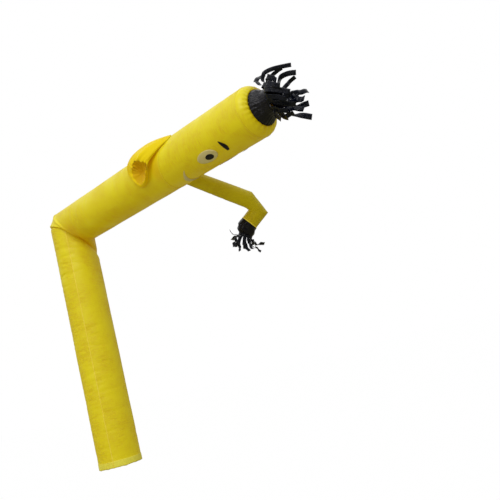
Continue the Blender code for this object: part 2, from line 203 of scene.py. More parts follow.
def monotone(xs, ys, x):
    """A smooth curve through the points that never swings past them."""
    steps = np.diff(xs)
    slopes = np.diff(ys) / steps
    ends = np.zeros(len(xs))
    for i in range(1, len(xs) - 1):
        if slopes[i - 1] * slopes[i] > 0:
            heavy, light_share = 2 * steps[i] + steps[i - 1], steps[i] + 2 * steps[i - 1]
            ends[i] = (heavy + light_share) / (heavy / slopes[i - 1] + light_share / slopes[i])
    ends[0], ends[-1] = slopes[0], slopes[-1]
    k = np.clip(np.searchsorted(xs, x, side="right") - 1, 0, len(xs) - 2)
    t = (x - xs[k]) / steps[k]
    return (ys[k] * (2 * t ** 3 - 3 * t ** 2 + 1) + ys[k + 1] * (3 * t ** 2 - 2 * t ** 3)
            + steps[k] * (ends[k] * (t ** 3 - 2 * t ** 2 + t) + ends[k + 1] * (t ** 3 - t ** 2)))


def finer(rows, stations):
    """The rows' values at many stations between them."""
    known = np.array([row[1:] for row in rows])
    columns = [monotone(known[:, 0], column, stations) for column in known.T]
    return [Row(rows[0].run, *values) for values in zip(*columns)]


def spaced(stops, steps):
    """Stations between the stops, at about the step given for each stretch."""
    parts = []
    for first, last, step in zip(stops, stops[1:], steps):
        parts.append(np.linspace(first, last, max(2, round((last - first) / step) + 1))[:-1])
    return np.append(np.concatenate(parts), stops[-1])


class Fold:
    """Two straight runs of one tube that meet at a folded corner."""

    def __init__(self, corner, first, second, radius, sides, start=0.0):
        self.corner = corner
        self.ways = (first, second)
        self.inner = (
            unit(second - second.dot(first) * first),
            unit(second.dot(first) * second - first),
        )
        self.side = np.cross(first, self.inner[0])
        self.radius = radius
        self.angles = start + np.arange(sides) * 2 * pi / sides

    def ring(self, row):
        u = self.radius * np.cos(self.angles)
        v = self.radius * np.sin(self.angles)
        slope = row.lean * u + row.tilt * v
        along = row.along - slope if row.run == 0 else row.along + slope
        inward = u * row.girth + row.push
        sideward = v * row.girth + row.shift
        return (self.corner + np.outer(along, self.ways[row.run])
                + np.outer(inward, self.inner[row.run]) + np.outer(sideward, self.side))

    def rings(self, rows):
        return np.array([self.ring(row) for row in rows])


def outward(grid):
    """The outward way at each point of a tube's grid, rings first."""
    round_it = np.roll(grid, -1, axis=1) - np.roll(grid, 1, axis=1)
    along_it = np.gradient(grid, axis=0)
    ways = np.cross(round_it, along_it)
    return ways / np.maximum(np.linalg.norm(ways, axis=2, keepdims=True), 1e-9)


def thicken(obj, wall, offset):
    """Give a sheet its wall."""
    shell = obj.modifiers.new("wall", "SOLIDIFY")
    shell.thickness = wall
    shell.offset = offset
    return shell


def cloth_piece(name, grid, materials, wall=CLOTH, tip=None, closed_round=True, bands=None, painted_shade=None,
                lining=None):
    """A cloth shell through a grid of points, rings first; its map is in metres round and along it.

    bands gives each row of faces its material, and lining is the look of the inside. The painted shade marks,
    from
    0 to 1 at each point, turn the cloth darker and more orange where its folds and recesses lie in shade.
    """
    rings, sides = grid.shape[:2]
    columns = sides if closed_round else sides - 1
    middle_ring = grid[rings // 2]
    around = np.linalg.norm(np.roll(middle_ring, -1, axis=0) - middle_ring, axis=1).mean()
    spine = grid.mean(axis=1)
    along = np.append(0.0, np.cumsum(np.linalg.norm(np.diff(spine, axis=0), axis=1)))
    points = grid.reshape(-1, 3).tolist()
    faces = []
    places = []
    for i in range(rings - 1):
        for j in range(columns):
            k = (j + 1) % sides
            faces.append((i * sides + j, i * sides + k, (i + 1) * sides + k, (i + 1) * sides + j))
            for a, b in ((j, i), (j + 1, i), (j + 1, i + 1), (j, i + 1)):
                places.extend((a * around, along[b]))
    if tip is not None:
        points.append(list(tip))
        last = (rings - 1) * sides
        reach = along[-1] + np.linalg.norm(grid[-1, 0] - tip)
        for j in range(sides):
            faces.append((last + j, last + (j + 1) % sides, rings * sides))
            places.extend((j * around, along[-1], (j + 1) * around, along[-1], (j + 0.5) * around, reach))
    mesh = bpy.data.meshes.new(name)
    mesh.from_pydata(points, [], faces)
    mesh.uv_layers.new(name="UVMap").data.foreach_set("uv", places)
    for material in materials:
        mesh.materials.append(material)
    if bands is not None:
        shares = np.repeat(bands, columns)
        mesh.polygons.foreach_set("material_index", shares.astype(np.int32).tolist())
    if painted_shade is not None:
        marks = np.append(painted_shade.reshape(-1), [painted_shade.max()] * (len(points) - painted_shade.size))
        mesh.attributes.new("painted_shade", "FLOAT", "POINT").data.foreach_set("value", marks.tolist())
    mesh.shade_smooth()
    obj = new_object(name, mesh)
    if wall:
        shell = thicken(obj, wall, -1.0)
        if lining is not None:
            mesh.materials.append(lining)
            shell.material_offset = len(materials)
    return obj


def wrinkles(along, angle, seed, count, reach, middle, spread, depth, width=0.009):
    """Short creases that run part of the way round a tube; the result is how far the skin moves.

    They are scattered between the two ends of reach, and round the tube about middle, as wide as spread.
    """
    pick = np.random.default_rng(seed)
    moved = np.zeros(np.broadcast(along, angle).shape)
    for _ in range(count):
        place = reach[0] + (reach[1] - reach[0]) * pick.random() ** 0.8
        facing = middle + spread * pick.normal()
        arc = 0.25 + 0.55 * pick.random()
        skew = 0.03 * pick.normal()
        size = width * (0.7 + 0.9 * pick.random())
        sunk = depth * (0.3 + 0.7 * pick.random())
        turn = (angle - facing + pi) % (2 * pi) - pi
        line = along - place - skew * turn - 0.012 * np.sin(3 * turn + 6 * pick.random())
        moved -= sunk * np.exp(-(line / size) ** 2 - (turn / arc) ** 4)
    return moved


def bell(distance, reach):
    """1 in the middle, falling off smoothly on both sides and small past the reach."""
    return np.exp(-(distance / reach) ** 2)


def plateau(distance, reach):
    """Near 1 over the middle, falling off quickly past the reach."""
    return np.exp(-(distance / reach) ** 4)


def ripples(angles, *waves):
    """Waves round a ring, each given by how many there are and its lead."""
    return sum(np.sin(turns * angles + lead) for turns, lead in waves)


SEAM_ANGLE = radians(-52)
BODY_SIDES = 88
body = Fold(KNEE, UP, FORWARD, TUBE_RADIUS, BODY_SIDES, SEAM_ANGLE)
azimuth = np.degrees(body.angles)


def degrees_from(middle):
    """How far each line of the body lies round from the given azimuth, from -180 to 180."""
    return (azimuth - middle + 180) % 360 - 180


leg_stations = spaced(
    (-KNEE_HEIGHT, -2.604, -2.594, -2.2, -0.75, -0.165), (0.011, 0.005, 0.012, 0.0115, 0.0095))
trunk_stations = spaced((0.055, 0.40, 1.3, NECK_ALONG - GAP), (0.010, 0.014, 0.0115))
leg_rings = body.rings(finer(LEG_ROWS, leg_stations))
trunk_rings = body.rings(finer(TRUNK_ROWS, trunk_stations))

# The knee: rings from one run to the other that swell away from the corner, most of all at its outer side
KNEE_RINGS = 13
KNEE_SWELL = 0.023
CORNER_SWELL = 0.009
SPARED_UNDERNEATH = 0.75
FULLEST = 0.37
knee_steps = np.linspace(0, 1, KNEE_RINGS + 2)[1:-1, None, None]
knee_away = np.outer(np.cos(body.angles), FORWARD) + np.outer(np.sin(body.angles), SIDEWAYS)
under_trunk = plateau(azimuth - 60, 50)
knee_swell = KNEE_SWELL * np.minimum(1.0, 2 - 2 * np.cos(body.angles)) * (1 - SPARED_UNDERNEATH * under_trunk)
knee_swell = (knee_swell + CORNER_SWELL * plateau(degrees_from(-125), 70))[:, None]
knee_rings = (leg_rings[-1] * (1 - knee_steps) + trunk_rings[0] * knee_steps
              + knee_away * knee_swell * np.minimum(knee_steps / FULLEST, (1 - knee_steps) / (1 - FULLEST)))
body_grid = np.concatenate((leg_rings, knee_rings, trunk_rings))
leg_count = len(leg_rings)
trunk_first = leg_count + KNEE_RINGS

# Fine creases round the leg and the trunk, then the deeper ones beside the knee
ways = outward(body_grid)
moved = np.zeros(body_grid.shape[:2])
leg_height = body_grid[:leg_count, :, 2]
trunk_ahead = body_grid[trunk_first:, :, 0]
moved[:leg_count] += wrinkles(leg_height, body.angles, 3, 150, (2.35, 0.10), radians(-75), 0.55, 0.0022)
moved[:leg_count] += wrinkles(leg_height, body.angles, 4, 60, (2.35, 0.10), radians(60), 1.2, 0.0018)
moved[trunk_first:] += wrinkles(trunk_ahead, body.angles, 5, 70, (0.15, 1.85), radians(-120), 0.8, 0.0016)
moved[:leg_count] += wrinkles(leg_height, body.angles, 6, 40, (2.6, 2.05), radians(-85), 0.45, 0.0034, 0.007)
moved[trunk_first:] += wrinkles(
    trunk_ahead, body.angles, 7, 22, (0.10, 0.62), radians(-100), 0.5, 0.0036, 0.008)

# The knee's crest with the crease beside it, a crease across the trunk, and the line of the fold itself
CREST_RISE = 0.0045
CREASE_RISE = 0.007
CREASE_DEPTH = 0.004
TRUNK_CREASE_DEPTH = 0.0045
FOLD_DEPTH = 0.0045
ring_numbers = np.arange(len(body_grid))
top_down = degrees_from(-90)
knee_crest = bell(ring_numbers - trunk_first, 1.6)[:, None]
moved += CREST_RISE * knee_crest * plateau(top_down + 20, 75)[None, :]
crease_groove = bell(ring_numbers - trunk_first - 4, 1.8)[:, None]
moved += plateau(degrees_from(-104), 27)[None, :] * (CREASE_RISE * knee_crest - CREASE_DEPTH * crease_groove)
trunk_crease = bell(trunk_ahead - 0.385 - 0.03 * np.sin(body.angles * 3), 0.008)
moved[trunk_first:] -= TRUNK_CREASE_DEPTH * (trunk_crease * plateau(top_down + 12, 26))
moved -= FOLD_DEPTH * bell(ring_numbers - leg_count - 1, 1.6)[:, None]
body_grid += ways * moved[:, :, None]

# The fold's outer end hangs a little
SAG = 0.03
from_fold = ring_numbers - leg_count
sagging = np.where(from_fold < 0, bell(from_fold, 9), np.clip(1 - from_fold / KNEE_RINGS, 0, 1))
body_grid[:, :, 2] -= SAG * np.outer(sagging, plateau(degrees_from(-130), 50))

# The hem: an edge that waves up from the ground, and puckers along its stitches
HEM_WAVE = 0.0011
HEM_PUCKER = 0.004
hem_waves = ripples(body.angles, (5, 0.4), (9, 1.9), (14, 3.1), (23, 0.7))
hem_fade = np.clip(1 - leg_height.mean(axis=1) / 0.06, 0, 1)
body_grid[:leg_count, :, 2] += HEM_WAVE * np.outer(hem_fade, hem_waves + 4)
hem_puckers = np.sin(26 * body.angles + 1.5 * np.sin(3 * body.angles))
hem_shape = bell(leg_height.mean(axis=1) - 0.035, 0.022)
body_grid[:leg_count, :, :2] *= 1 + HEM_PUCKER * np.outer(hem_shape, hem_puckers)[:, :, None]
body_ways = outward(body_grid)

# Painted shade: darker, more orange colour on the trunk before the neck, beside the knee and under the trunk
painted_shade = np.zeros(body_grid.shape[:2])
painted_shade[trunk_first:] += 0.46 * plateau(trunk_ahead - 1.875, 0.07) * plateau(top_down[None, :] - 14, 34)
painted_shade[trunk_first:] += 0.65 * plateau(trunk_ahead - 0.22, 0.15) * plateau(top_down[None, :] - 68, 56)
painted_shade[:leg_count] += 0.6 * np.clip((leg_height - 2.28) / 0.14, 0, 1) * plateau(azimuth[None, :] - 40, 45)
painted_shade[leg_count:trunk_first] = 0.45 * plateau(azimuth - 40, 70)


def new_group(name, kind, inputs, outputs):
    """A node group with named sockets, and the sockets of its two ends."""
    group = bpy.data.node_groups.new(name, kind)
    for label, socket_kind, value in inputs:
        socket = group.interface.new_socket(label, in_out="INPUT", socket_type=socket_kind)
        if value is not None:
            socket.default_value = value
    for label, socket_kind in outputs:
        group.interface.new_socket(label, in_out="OUTPUT", socket_type=socket_kind)
    return group, group.nodes.new("NodeGroupInput").outputs, group.nodes.new("NodeGroupOutput").inputs


def calculate(tree, operation, first, second=0.0, third=None):
    """A math node on sockets or numbers; returns its result."""
    node = add_node(tree, "ShaderNodeMath", operation=operation)
    for socket, value in zip(node.inputs, (first, second, third)):
        if isinstance(value, bpy.types.NodeSocket):
            tree.links.new(value, socket)
        elif value is not None:
            socket.default_value = value
    return node.outputs[0]


def ramp(tree, value, low, high, to_low=0.0, to_high=1.0):
    """A smooth step from low to high."""
    return mapped(tree, value, low, high, to_low, to_high, "SMOOTHSTEP")


def scaled(tree, vector, factor):
    """The vector times a factor, both from sockets."""
    node = add_node(tree, "ShaderNodeVectorMath", operation="MULTIPLY")
    tree.links.new(vector, node.inputs[0])
    tree.links.new(factor, node.inputs[1])
    return node.outputs[0]


def blend(tree, share, first, second):
    """A mix of two colours, each a socket or a fixed colour."""
    node = add_node(tree, "ShaderNodeMix", data_type="RGBA", factor=share)
    for socket, value in ((node.inputs[6], first), (node.inputs[7], second)):
        if isinstance(value, bpy.types.NodeSocket):
            tree.links.new(value, socket)
        else:
            socket.default_value = (*value, 1.0)
    return node.outputs[2]


# Woven, coated cloth: plain weave with a thicker ripstop thread every few millimetres, fine creases that run
# across the stretch, and slow unevenness. Sizes are in metres of cloth.
cloth_surface, given, result = new_group("cloth_surface", "ShaderNodeTree", (
    ("Map", "NodeSocketVector", None),
    ("Thread Pitch", "NodeSocketFloat", 0.0016),
    ("Thread Depth", "NodeSocketFloat", 0.0001),
    ("Ripstop Pitch", "NodeSocketFloat", 0.008),
    ("Crease Stretch", "NodeSocketVector", (6.0, 60.0, 20.0)),
    ("Crease Depth", "NodeSocketFloat", 0.0016),
), (
    ("Normal", "NodeSocketVector"),
    ("Unevenness", "NodeSocketFloat"),
    ("Crease", "NodeSocketFloat"),
    ("Thread", "NodeSocketFloat"),
))
tree = cloth_surface
ONE_WAVE = 0.31416
RIPSTOP_SHARPNESS = 14.0
RIPSTOP_HEIGHT = 1.4
heights = []
for label in ("Thread Pitch", "Ripstop Pitch"):
    per_metre = calculate(tree, "DIVIDE", 1.0, given[label])
    spread = scaled(tree, given["Map"], per_metre)
    for direction in ("X", "Y"):
        wave = add_node(tree, "ShaderNodeTexWave", bands_direction=direction, scale=ONE_WAVE, vector=spread)
        heights.append(wave.outputs["Fac"])
weave = calculate(tree, "MULTIPLY", heights[0], heights[1])
ripstop = calculate(tree, "POWER", calculate(tree, "MAXIMUM", heights[2], heights[3]), RIPSTOP_SHARPNESS)
threads = calculate(tree, "MULTIPLY_ADD", ripstop, RIPSTOP_HEIGHT, weave)
broad = add_node(tree, "ShaderNodeTexNoise", vector=given["Map"], scale=2.6, detail=3.0, roughness=0.6)
stretched = scaled(tree, given["Map"], given["Crease Stretch"])
fine = add_node(
    tree, "ShaderNodeTexNoise", vector=stretched, scale=1.0, detail=4.0, roughness=0.62, distortion=0.35)
off_middle = calculate(tree, "ABSOLUTE", calculate(tree, "SUBTRACT", fine.outputs["Fac"], 0.5))
crease = ramp(tree, off_middle, 0.0, 0.075, 1.0, 0.0)
patchy = ramp(tree, broad.outputs["Fac"], 0.38, 0.62)
crease_here = calculate(tree, "MULTIPLY", crease, patchy)
creased = add_node(
    tree, "ShaderNodeBump", invert=True, strength=0.7, height=crease_here, distance=given["Crease Depth"])
woven = add_node(tree, "ShaderNodeBump", strength=0.5, height=threads, distance=given["Thread Depth"],
                 normal=creased.outputs[0])
tree.links.new(woven.outputs[0], result["Normal"])
tree.links.new(broad.outputs["Fac"], result["Unevenness"])
tree.links.new(crease_here, result["Crease"])
tree.links.new(threads, result["Thread"])

# Colour of the painted glow: an emission that stands in for light coming through the cloth
PAINTED_GLOW_COLOUR = (1.0, 0.34, 0.0, 1.0)


def cloth_material(name, colour, tint, painted_shade, roughness, gloss, glow, stretch, crease, pitch=0.0016,
                   coordinates="UV"):
    """A cloth from its colour, how that varies, and the darker, more orange colour of its painted shade.

    glow is the strength of a painted glow, an emission that stands in for the light that comes through it.
    stretch and crease say how its creases run and how far they sink in, and pitch is the distance between its
    threads.
    """
    material = bpy.data.materials.new(name)
    material.use_nodes = True
    tree = material.node_tree
    shader = tree.nodes["Principled BSDF"]
    place = add_node(tree, "ShaderNodeTexCoord")
    surface = add_node(
        tree, "ShaderNodeGroup", node_tree=cloth_surface, map=place.outputs[coordinates], thread_pitch=pitch,
        crease_stretch=stretch, crease_depth=crease)
    variation = ramp(tree, surface.outputs["Unevenness"], 0.35, 0.65, 0.0, 0.55)
    shown = blend(tree, variation, colour, tint)
    # Painted shade in the fine creases: about a third of the way towards the darker, more orange shade colour
    painted_crease_shade = calculate(tree, "MULTIPLY", surface.outputs["Crease"], 0.35)
    shown = blend(tree, painted_crease_shade, shown, painted_shade)
    # Painted shade: points marked in the mesh take the darker, more orange shade colour
    mark = add_node(tree, "ShaderNodeAttribute", attribute_name="painted_shade")
    shown = blend(tree, mark.outputs["Fac"], shown, painted_shade)
    thread_share = calculate(tree, "MULTIPLY", surface.outputs["Thread"], 0.06)
    shown = blend(tree, thread_share, shown, tint)
    tree.links.new(shown, shader.inputs["Base Color"])
    rough = ramp(tree, surface.outputs["Unevenness"], 0.3, 0.7, roughness - 0.05, roughness + 0.07)
    tree.links.new(rough, shader.inputs["Roughness"])
    tree.links.new(surface.outputs["Normal"], shader.inputs["Normal"])
    shader.inputs["Specular IOR Level"].default_value = gloss
    # Painted glow: the cloth gives off this orange light itself, in shade as well as in light
    shader.inputs["Emission Color"].default_value = PAINTED_GLOW_COLOUR
    shader.inputs["Emission Strength"].default_value = glow
    return material


ACROSS_TUBE = (7.0, 62.0, 20.0)
EVERY_WAY = (26.0, 26.0, 26.0)
# The number after gloss is each cloth's painted glow, and its third colour is its darker, more orange painted
# shade
yellow_nylon = cloth_material(
    "yellow_nylon_cloth", (0.705, 0.66, 0.006), (0.67, 0.595, 0.0), (0.58, 0.34, 0.0), 0.43, 0.34, 0.095,
    ACROSS_TUBE, 0.0016)
yellow_bright = cloth_material(
    "yellow_nylon_seam", (0.92, 0.80, 0.08), (0.86, 0.70, 0.03), (0.66, 0.42, 0.0), 0.45, 0.34, 0.06,
    (20.0, 90.0, 20.0), 0.001)
yellow_inside = cloth_material(
    "yellow_nylon_inside", (0.62, 0.46, 0.004), (0.56, 0.40, 0.0), (0.40, 0.22, 0.0), 0.5, 0.2, 0.0,
    ACROSS_TUBE, 0.0016)
hem_nylon = cloth_material(
    "yellow_nylon_hem", (0.84, 0.80, 0.09), (0.78, 0.70, 0.05), (0.55, 0.42, 0.02), 0.5, 0.3, 0.03,
    (34.0, 9.0, 20.0), 0.002)
yellow_thread = cloth_material(
    "yellow_thread", (0.86, 0.74, 0.10), (0.74, 0.56, 0.03), (0.60, 0.40, 0.0), 0.6, 0.3, 0.0,
    EVERY_WAY, 0.0002, 0.0008, "Object")


def beside(path, normals, across, rise, closed):
    """The path moved sideways and out of the skin."""
    if closed:
        tangents = np.roll(path, -1, axis=0) - np.roll(path, 1, axis=0)
    else:
        tangents = np.gradient(path, axis=0)
    lateral = np.cross(normals, tangents)
    lateral /= np.maximum(np.linalg.norm(lateral, axis=1, keepdims=True), 1e-9)
    return path + lateral * across + normals * rise


# Outline of a felled seam: across and up, against its width and height
FELLED = ((0.5, -0.35), (0.46, 0.55), (0.22, 1.0), (-0.22, 1.0), (-0.46, 0.55), (-0.5, -0.35))


def seam_band(name, path, normals, width, height, material, closed=True):
    """A felled seam: a low strip of folded cloth along a path on the skin."""
    grid = np.stack([beside(path, normals, x * width, y * height, closed) for x, y in FELLED], axis=1)
    if closed:
        grid = np.concatenate((grid, grid[:1]))
    band = cloth_piece(name, grid, [material], wall=0)
    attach(band, "root")
    return band


# Running stitch: short lengths of thread, one after the other along a path on the cloth
STITCH_PITCH = 0.009
STITCH_SHARE = 0.7
THREAD_THICKNESS = 0.0013
ON_SKIN = 0.0003
stitching, given, result = new_group("running_stitch", "GeometryNodeTree", (
    ("Path", "NodeSocketGeometry", None),
    ("Pitch", "NodeSocketFloat", STITCH_PITCH),
    ("Length", "NodeSocketFloat", 0.0064),
    ("Thickness", "NodeSocketFloat", THREAD_THICKNESS),
    ("Thread", "NodeSocketMaterial", None),
), (("Stitches", "NodeSocketGeometry"),))
tree = stitching
as_curve = add_node(tree, "GeometryNodeMeshToCurve", mesh=given["Path"])
marked = add_node(
    tree, "GeometryNodeResampleCurve", mode="LENGTH", curve=as_curve.outputs[0], length=given["Pitch"])
tangent = add_node(tree, "GeometryNodeInputTangent")
turned = add_node(tree, "FunctionNodeAlignRotationToVector", axis="Z", vector=tangent.outputs[0])
half_thickness = calculate(tree, "MULTIPLY", given["Thickness"], 0.5)
loop_of_thread = add_node(
    tree, "GeometryNodeMeshCylinder", vertices=6, radius=half_thickness, depth=given["Length"])
placed = add_node(tree, "GeometryNodeInstanceOnPoints", points=marked.outputs[0],
                  instance=loop_of_thread.outputs["Mesh"], rotation=turned.outputs[0])
real = add_node(tree, "GeometryNodeRealizeInstances", geometry=placed.outputs[0])
threaded = add_node(tree, "GeometryNodeSetMaterial", geometry=real.outputs[0], material=given["Thread"])
tree.links.new(threaded.outputs[0], result["Stitches"])


def stitch_rows(name, paths, thread, closed=True, pitch=STITCH_PITCH):
    """Running stitches along one or more paths, as one plain mesh."""
    points = np.concatenate(paths)
    edges = []
    start = 0
    for path in paths:
        edges.extend((start + i, start + i + 1) for i in range(len(path) - 1))
        if closed:
            edges.append((start + len(path) - 1, start))
        start += len(path)
    mesh = bpy.data.meshes.new(name + "_path")
    mesh.from_pydata(points.tolist(), edges, [])
    line = new_object(name + "_path", mesh)
    modifier = line.modifiers.new("stitches", "NODES")
    modifier.node_group = stitching
    values = {"Pitch": pitch, "Length": pitch * STITCH_SHARE, "Thickness": THREAD_THICKNESS, "Thread": thread}
    for item in stitching.interface.items_tree:
        if item.in_out == "INPUT" and item.name in values:
            modifier[item.identifier] = values[item.name]
    made = bpy.data.meshes.new_from_object(line.evaluated_get(bpy.context.evaluated_depsgraph_get()))
    bpy.data.objects.remove(line)
    stitches = new_object(name, made)
    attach(stitches, "root")
    return stitches


def stitches_round(name, path, normals, rows, thread):
    """Stitches round a tube; each row is given by its place across the seam and its rise above the skin."""
    paths = [beside(path, normals, across, rise, True) for across, rise in rows]
    return stitch_rows(name, paths, thread)


def seam_round(name, path, normals, width, height, material, rows):
    """A felled seam round a yellow tube, and its stitches."""
    return [
        seam_band(name + "_seam", path, normals, width, height, material),
        stitches_round(name + "_stitches", path, normals, rows, yellow_thread),
    ]


def stand_in(piece, node, slot, **sheet):
    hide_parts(node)
    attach(piece, "root")


HEM_TOP = -2.601
hem_rings = int(np.searchsorted(leg_stations, HEM_TOP))
body_bands = (np.arange(len(body_grid) - 1) < hem_rings).astype(int)
leg_and_trunk = cloth_piece(
    "leg_and_trunk", body_grid, [yellow_nylon, hem_nylon], bands=body_bands, painted_shade=painted_shade, lining=yellow_inside)
seam_end = leg_count - 2
seam_path, seam_ways = body_grid[:seam_end, 0], body_ways[:seam_end, 0]
leg_seam = seam_band("leg_seam", seam_path, seam_ways, 0.009, 0.0016, yellow_bright, closed=False)
leg_stitches = stitch_rows(
    "leg_stitches", [beside(seam_path, seam_ways, across, 0.0016, False) for across in (-0.0022, 0.0022)],
    yellow_thread, closed=False)
hem_stitches = stitch_rows(
    "hem_stitches",
    [beside(body_grid[ring], body_ways[ring], 0.0, ON_SKIN, True) for ring in (1, hem_rings - 1)],
    yellow_thread)
stand_in(leg_and_trunk, "body_tube", "yellow_nylon", flat=(1.436, 4.60), held="stretched",
         with_pieces=[leg_seam, leg_stitches, hem_stitches])

# Head: a second length of the same yellow nylon tube. A felled seam with two rows of stitches joins it to
# the trunk round the neck, and leans back under the chin.

CROWN_ALONG = 3.000
PUCKER_DEPTH = 0.0014
HEAD_ROWS = [
    Row(1, NECK_ALONG, NECK_LEAN),
    Row(1, 2.26, -0.12, girth=1.002),
    Row(1, 2.62, 0.0, girth=1.0),
    Row(1, CROWN_ALONG - 0.12),
    Row(1, CROWN_ALONG - GAP, girth=0.993),
]
head_stations = spaced((NECK_ALONG, 2.1, 2.75, CROWN_ALONG - GAP), (0.008, 0.012, 0.008))
head_grid = body.rings(finer(HEAD_ROWS, head_stations))
head_ways = outward(head_grid)
head_ahead = head_grid[:, :, 0]
past_seam = head_ahead - head_ahead[0]
head_moved = wrinkles(head_ahead, body.angles, 15, 40, (2.85, 2.0), radians(-120), 0.8, 0.0012)
neck_pull = np.exp(-past_seam / 0.10)
neck_puckers = np.sin(31 * body.angles + 2 * np.sin(4 * body.angles)) ** 2
head_moved -= PUCKER_DEPTH * neck_pull * (1 - neck_pull) * 4 * neck_puckers
head_moved *= np.clip(past_seam / 0.01, 0, 1)
head_grid += head_ways * head_moved[:, :, None]
head = cloth_piece("head", head_grid, [yellow_nylon], lining=yellow_inside)
neck = seam_round(
    "neck", head_grid[0], head_ways[0], 0.012, 0.0020, yellow_nylon, ((-0.004, 0.0029), (0.004, 0.0029)))
stand_in(head, "head_tube", "yellow_nylon", flat=(1.436, 1.02), held="stretched", rests_on=["leg_and_trunk"],
         with_pieces=neck)

# Crown: the last hand's breadth of the head, a short length of the same yellow nylon. A seam joins it to the
# head, and its far edge is gathered in pleats into the black collar.

COLLAR_ALONG = 3.085
COLLAR_RADIUS = 0.163
GATHERED_SIDES = 160
PLEAT_DEPTH = 0.007
CROWN_ROWS = [
    Row(1, CROWN_ALONG, girth=0.993),
    Row(1, CROWN_ALONG + 0.022, girth=0.982),
    Row(1, CROWN_ALONG + 0.050, girth=0.93),
    Row(1, CROWN_ALONG + 0.073, girth=0.83),
    Row(1, COLLAR_ALONG - GAP, girth=COLLAR_RADIUS / TUBE_RADIUS),
]
gathered = Fold(KNEE, UP, FORWARD, TUBE_RADIUS, GATHERED_SIDES)
crown_grid = gathered.rings(finer(CROWN_ROWS, spaced((CROWN_ALONG, COLLAR_ALONG - GAP), (0.005,))))


def pleats(angles, seed, folds):
    """Uneven folds round a gathered edge, from -1 in the valleys to 0 on the crests."""
    pick = np.random.default_rng(seed)
    phase = folds * angles
    for turns in (1, 2, 3, 5):
        phase = phase + pick.normal() * 0.5 * np.sin(turns * angles + 6.3 * pick.random())
    height = 0.5 * np.cos(phase) - 0.5
    strength = 0.65 + 0.35 * np.sin(3 * angles + 6.3 * pick.random())
    return height * strength


crown_along = (crown_grid[:, :, 0] - CROWN_ALONG) / (COLLAR_ALONG - CROWN_ALONG)
gathers = pleats(gathered.angles, 8, 26)
crown_pleats = gathers * np.clip(crown_along, 0, 1) ** 1.5 * PLEAT_DEPTH
crown_grid += outward(crown_grid) * crown_pleats[:, :, None]
crown_ways = outward(crown_grid)
crown = cloth_piece("crown_cloth", crown_grid, [yellow_nylon], lining=yellow_inside)
crown_edge = seam_round(
    "crown", crown_grid[0], crown_ways[0], 0.009, 0.0013, yellow_nylon, ((-0.008, ON_SKIN), (0.0, 0.0018)))
stand_in(crown, "crown", "yellow_nylon", flat=(1.436, 0.125), held="gathered", rests_on=["head"],
         with_pieces=crown_edge)

# Far sleeve: a long thin tube of the same yellow nylon, sewn over a hole in the far side of the trunk. Only
# air holds it out, so it droops forward, and it folds back at the elbow.

# A shaded copy of the yellow nylon for the far sleeve: painted shade, darker and without the painted glow, as
# it hangs in the trunk's shadow
yellow_shaded = cloth_material(
    "yellow_nylon_sleeve_painted_shade", (0.67, 0.54, 0.002), (0.63, 0.49, 0.0), (0.54, 0.32, 0.0), 0.43, 0.22, 0.0,
    ACROSS_TUBE, 0.0016)
FULL_GIRTH = 1.008
ROOT_GIRTH = 0.88
ROOT_RINGS = 28
ELBOW_RINGS = 14
ELBOW_CREASE = 0.003
SLEEVE_SIDES = 56
SLEEVE_RADIUS = 0.084
SHOULDER = KNEE + np.array((1.78, 0.0, 0.0))
SLEEVE_WAY = unit(np.array((0.387, 0.773, -0.503)))
FOREARM_WAY = unit(np.array((-0.66, -0.44, -0.61)))
FOREARM = 0.216
ELBOW = SHOULDER + SLEEVE_WAY * 1.015
WRIST = ELBOW + FOREARM_WAY * FOREARM
SLEEVE_ROWS = [
    Row(0, -0.55, girth=0.94),
    Row(0, -0.30, girth=0.99),
    Row(0, -0.15, girth=1.01),
]
FOREARM_ROWS = [
    Row(1, 0.075, 0.60, girth=1.05),
    Row(1, FOREARM - GAP, girth=1.02),
]
arm = Fold(ELBOW, SLEEVE_WAY, FOREARM_WAY, SLEEVE_RADIUS, SLEEVE_SIDES)


def sleeve_root(fold, girth):
    """Run each line of the sleeve back until it meets the trunk's skin."""
    way = fold.ways[0]
    clear = TUBE_RADIUS * FULL_GIRTH + 2 * GAP
    start = fold.ring(Row(0, 0.0, girth=girth))
    away = start - KNEE
    a = way[1] ** 2 + way[2] ** 2
    b = 2 * (away[:, 1] * way[1] + away[:, 2] * way[2])
    c = away[:, 1] ** 2 + away[:, 2] ** 2 - clear ** 2
    back = (-b + np.sqrt(b * b - 4 * a * c)) / (2 * a)
    return start + np.outer(back, way)


def between(first, last, count):
    """Rings between two rings, with the first and without the last."""
    t = np.arange(count)[:, None, None] / count
    return first * (1 - t) + last * t


upper_arm = arm.rings(finer(SLEEVE_ROWS, spaced((-0.55, -0.15), (0.008,))))
forearm = arm.rings(finer(FOREARM_ROWS, spaced((0.075, FOREARM - GAP), (0.007,))))
sleeve_grid = np.concatenate((
    between(sleeve_root(arm, ROOT_GIRTH), upper_arm[0], ROOT_RINGS),
    upper_arm,
    between(upper_arm[-1], forearm[0], ELBOW_RINGS)[1:],
    forearm,
))
sleeve_ways = outward(sleeve_grid)
sleeve_run = np.linalg.norm(sleeve_grid.mean(axis=1) - SHOULDER, axis=1)[:, None]
from_elbow = np.linalg.norm(sleeve_grid.mean(axis=1) - ELBOW, axis=1)[:, None]
elbow_near = bell(from_elbow - 0.03, 0.16)
sleeve_moved = wrinkles(sleeve_run, arm.angles, 31, 60, (0.3, 1.2), 0.0, 1.6, 0.0022, 0.008)
sleeve_moved -= elbow_near * ELBOW_CREASE * np.sin(9 * arm.angles + 22 * sleeve_run) ** 2
sleeve_moved[0] = 0
sleeve_moved[-1] = 0
sleeve_grid += sleeve_ways * sleeve_moved[:, :, None]
far_sleeve = cloth_piece("far_sleeve_cloth", sleeve_grid, [yellow_shaded], lining=yellow_inside)
